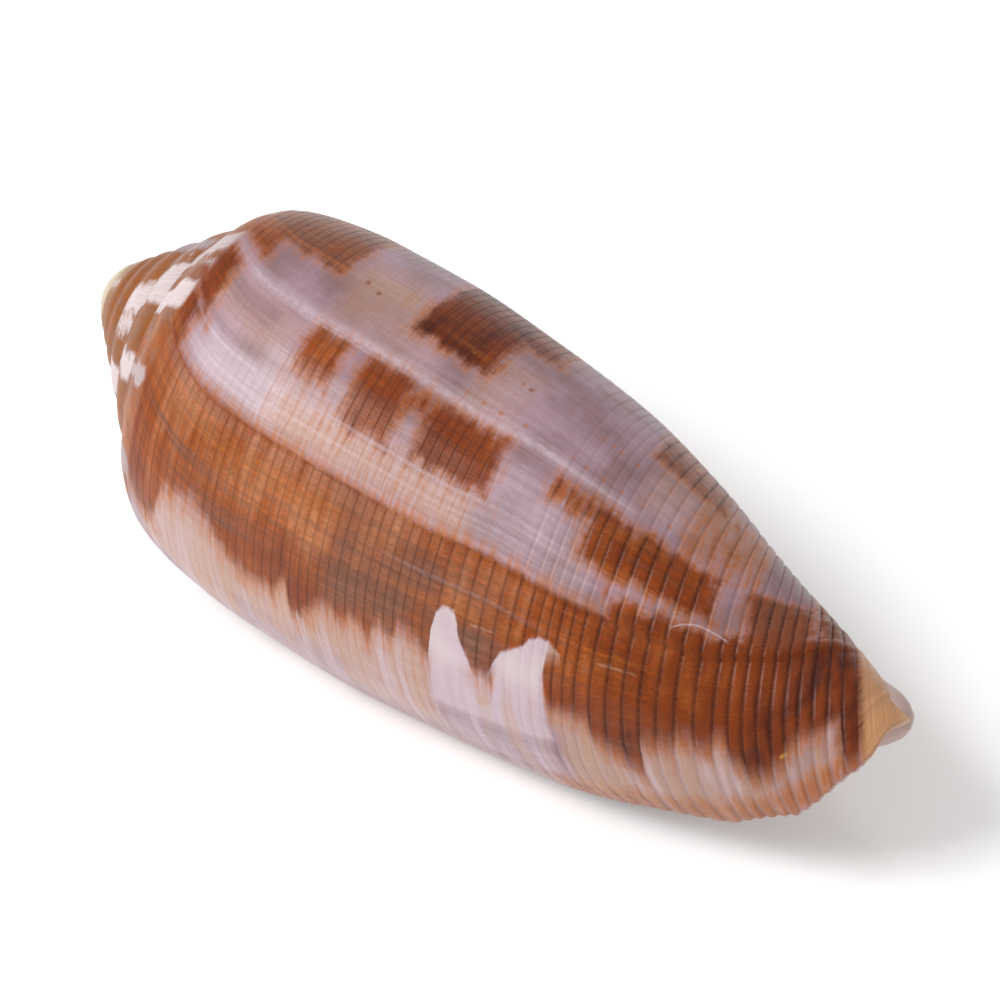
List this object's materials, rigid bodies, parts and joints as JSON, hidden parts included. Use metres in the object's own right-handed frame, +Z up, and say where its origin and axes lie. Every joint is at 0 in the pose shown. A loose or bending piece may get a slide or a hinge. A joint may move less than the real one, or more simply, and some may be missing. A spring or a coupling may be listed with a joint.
{
  "type": "cone shell",
  "caption": "Empty cone shell with a low stepped spire, a long tapering last whorl and a narrow slit aperture, resting on its aperture side as a natural history or decorative piece",
  "frame": {"origin": "on the surface that the shell lies on, under the middle of its box", "axes": "+X runs along the shell towards its anterior end, +Z is up from the surface, and the aperture faces down"},
  "size_m": [0.0504, 0.0198, 0.0182],
  "materials": {
    "shell": "satin natural shell, lilac white with orange-brown blotches and fine spiral grooves"
  },
  "bodies": {
    "root": {"cone_shell": "shell"}
  },
  "joints": []
}
